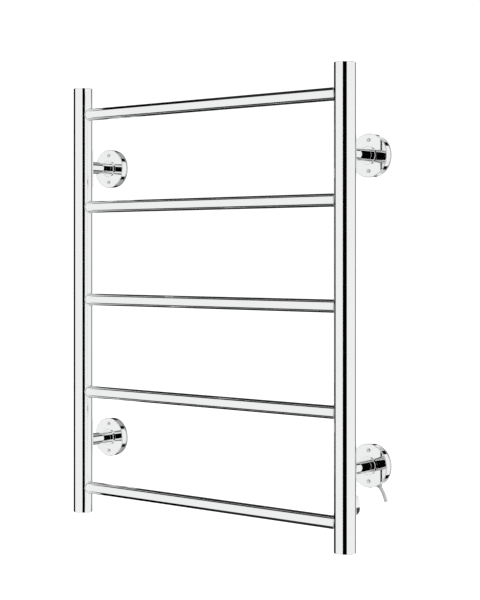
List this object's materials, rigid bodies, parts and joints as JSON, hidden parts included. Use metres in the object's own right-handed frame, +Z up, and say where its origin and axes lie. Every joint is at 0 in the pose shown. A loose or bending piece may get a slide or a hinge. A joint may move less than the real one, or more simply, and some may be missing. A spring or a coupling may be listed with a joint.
{
  "type": "heated towel rail",
  "caption": "Wall-hung ladder towel warmer: two round posts joined by round bars, standing on round wall flanges, with a rocker switch behind one post and a short mains cable tail.",
  "frame": {"origin": "middle of the four wall brackets, in the plane of the wall: the centre of both rectangles of wall screw holes", "axes": "+Z up along the posts, +Y into the wall, +X to the right for someone facing the wall; the wall is the plane Y = 0 and the rail is at negative Y"},
  "size_m": [0.574, 0.088, 0.68],
  "materials": {
    "polished_steel": "mirror-polished stainless steel tube",
    "polished_cap": "mirror-polished turned cap",
    "polished_flange": "mirror-polished pressed flange and turned collar",
    "polished_arm": "mirror-polished tube",
    "polished_screw": "polished slotted round head",
    "wall_plate_steel": "brushed zinc-plated steel",
    "turned_steel": "fine turned steel",
    "grey_sheath": "light grey soft cable sheath",
    "grey_rubber": "soft grey rubber",
    "silicone_cable": "red-brown silicone rubber",
    "black_sleeve": "black heat-shrink sleeve",
    "brown_core": "brown core insulation",
    "blue_core": "blue core insulation",
    "earth_core": "green and yellow core insulation",
    "tinned_brass": "tinned brass",
    "cream_ceramic": "cream ceramic case",
    "switch_grey": "light grey gloss plastic",
    "switch_black": "black gloss plastic",
    "amber_lens": "amber lens",
    "lamp_glass": "clear lamp body"
  },
  "bodies": {
    "rail": {"arm_grub_screws": "turned_steel", "arm_lower_left": "polished_arm", "arm_lower_right": "polished_arm", "arm_upper_left": "polished_arm", "arm_upper_right": "polished_arm", "bar_1": "polished_steel", "bar_2": "polished_steel", "bar_3": "polished_steel", "bar_4": "polished_steel", "bar_5": "polished_steel", "cable_grommet": "grey_rubber", "collar_lower_left": "polished_flange", "collar_lower_right": "polished_flange", "collar_upper_left": "polished_flange", "collar_upper_right": "polished_flange", "cutout_core": "brown_core", "earth_core": "earth_core", "earth_tag": "tinned_brass", "flange_lower_left": "polished_flange", "flange_lower_right": "polished_flange", "flange_screws": "polished_screw", "flange_upper_left": "polished_flange", "flange_upper_right": "polished_flange", "heater_end_seal": "black_sleeve", "heater_splice": "black_sleeve", "heating_cable": "silicone_cable", "left_post": "polished_steel", "left_post_bottom_cap": "polished_cap", "left_post_top_cap": "polished_cap", "live_core": "brown_core", "mains_tail": "grey_sheath", "neutral_core": "blue_core", "pilot_lamp": "lamp_glass", "pilot_lens": "amber_lens", "right_post": "polished_steel", "right_post_bottom_cap": "polished_cap", "right_post_top_cap": "polished_cap", "rocker_pin": "turned_steel", "spigot_lower_left": "turned_steel", "spigot_lower_right": "turned_steel", "spigot_upper_left": "turned_steel", "spigot_upper_right": "turned_steel", "supply_cable": "grey_sheath", "switch_housing": "switch_grey", "switch_terminals": "tinned_brass", "switched_core": "brown_core", "thermal_cutout": "cream_ceramic", "wall_plate_lower_left": "wall_plate_steel", "wall_plate_lower_right": "wall_plate_steel", "wall_plate_upper_left": "wall_plate_steel", "wall_plate_upper_right": "wall_plate_steel"},
    "rocker": {"switch_rocker": "switch_black"}
  },
  "joints": [
    {"name": "rocker_tilt", "type": "hinge", "parent": "rail", "child": "rocker", "pos_m": [0.256, -0.0554, -0.2788], "axis": [-1, 0, 0], "range_deg": [0, 8]}
  ]
}
